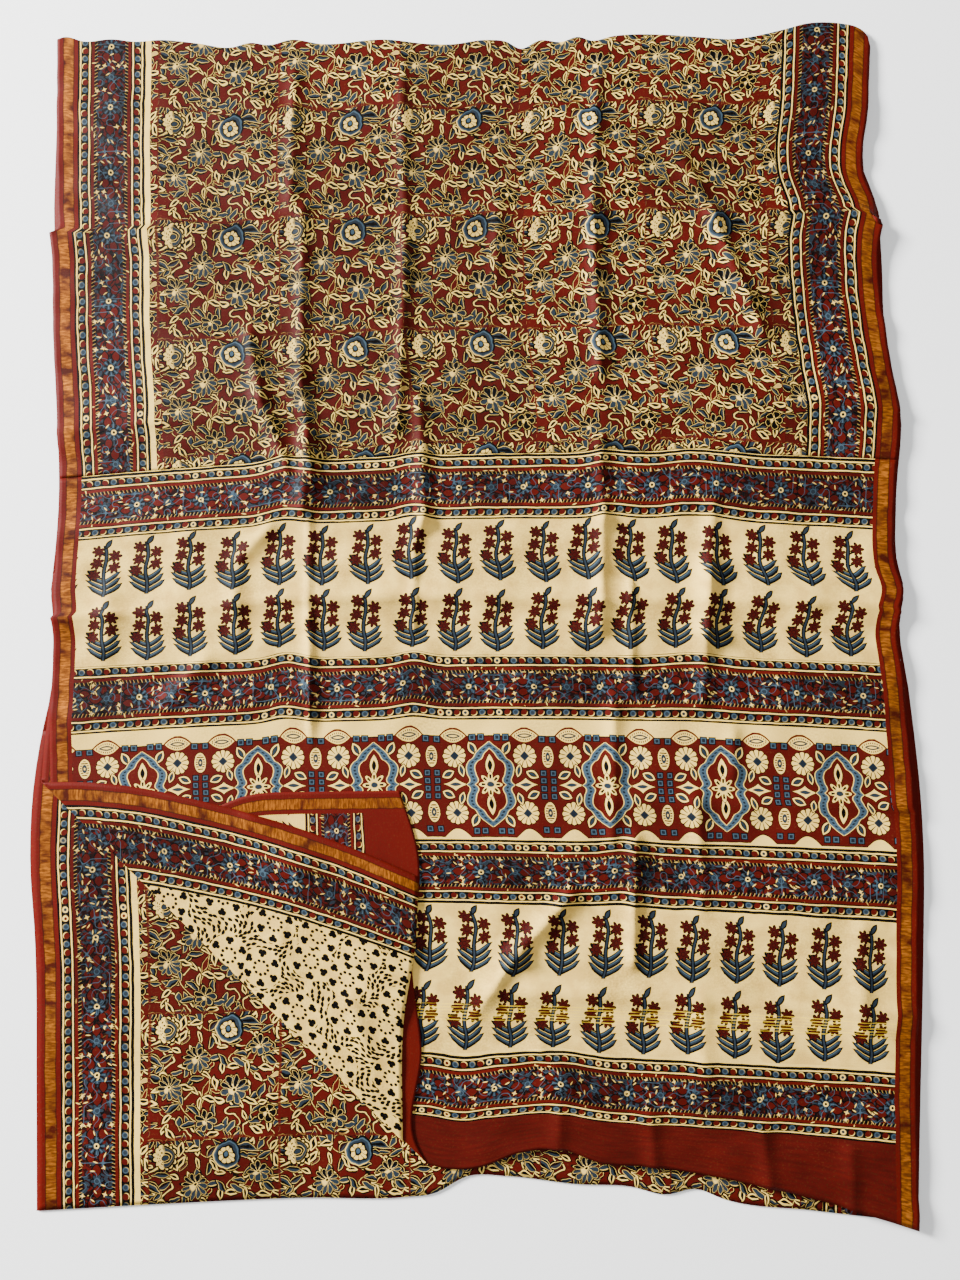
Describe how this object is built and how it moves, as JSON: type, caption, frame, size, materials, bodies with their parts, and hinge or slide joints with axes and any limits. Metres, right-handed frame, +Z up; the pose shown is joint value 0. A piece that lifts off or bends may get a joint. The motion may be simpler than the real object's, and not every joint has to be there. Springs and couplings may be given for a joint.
{
  "type": "block printed saree",
  "caption": "Block printed cotton-silk saree, folded in half twice and laid flat, with its end panel on top and one corner turned over.",
  "frame": {"origin": "middle of the underside of the folded cloth, on the surface it lies on", "axes": "+X across the cloth towards its right selvedge, +Y along the cloth towards its closed top folds, +Z up"},
  "size_m": [1.194, 1.6393, 0.0186],
  "materials": {
    "printed_cloth": "madder, indigo and black block print on cream cotton-silk, with a soft sheen"
  },
  "bodies": {
    "root": {"saree_cloth": "printed_cloth"}
  },
  "joints": []
}
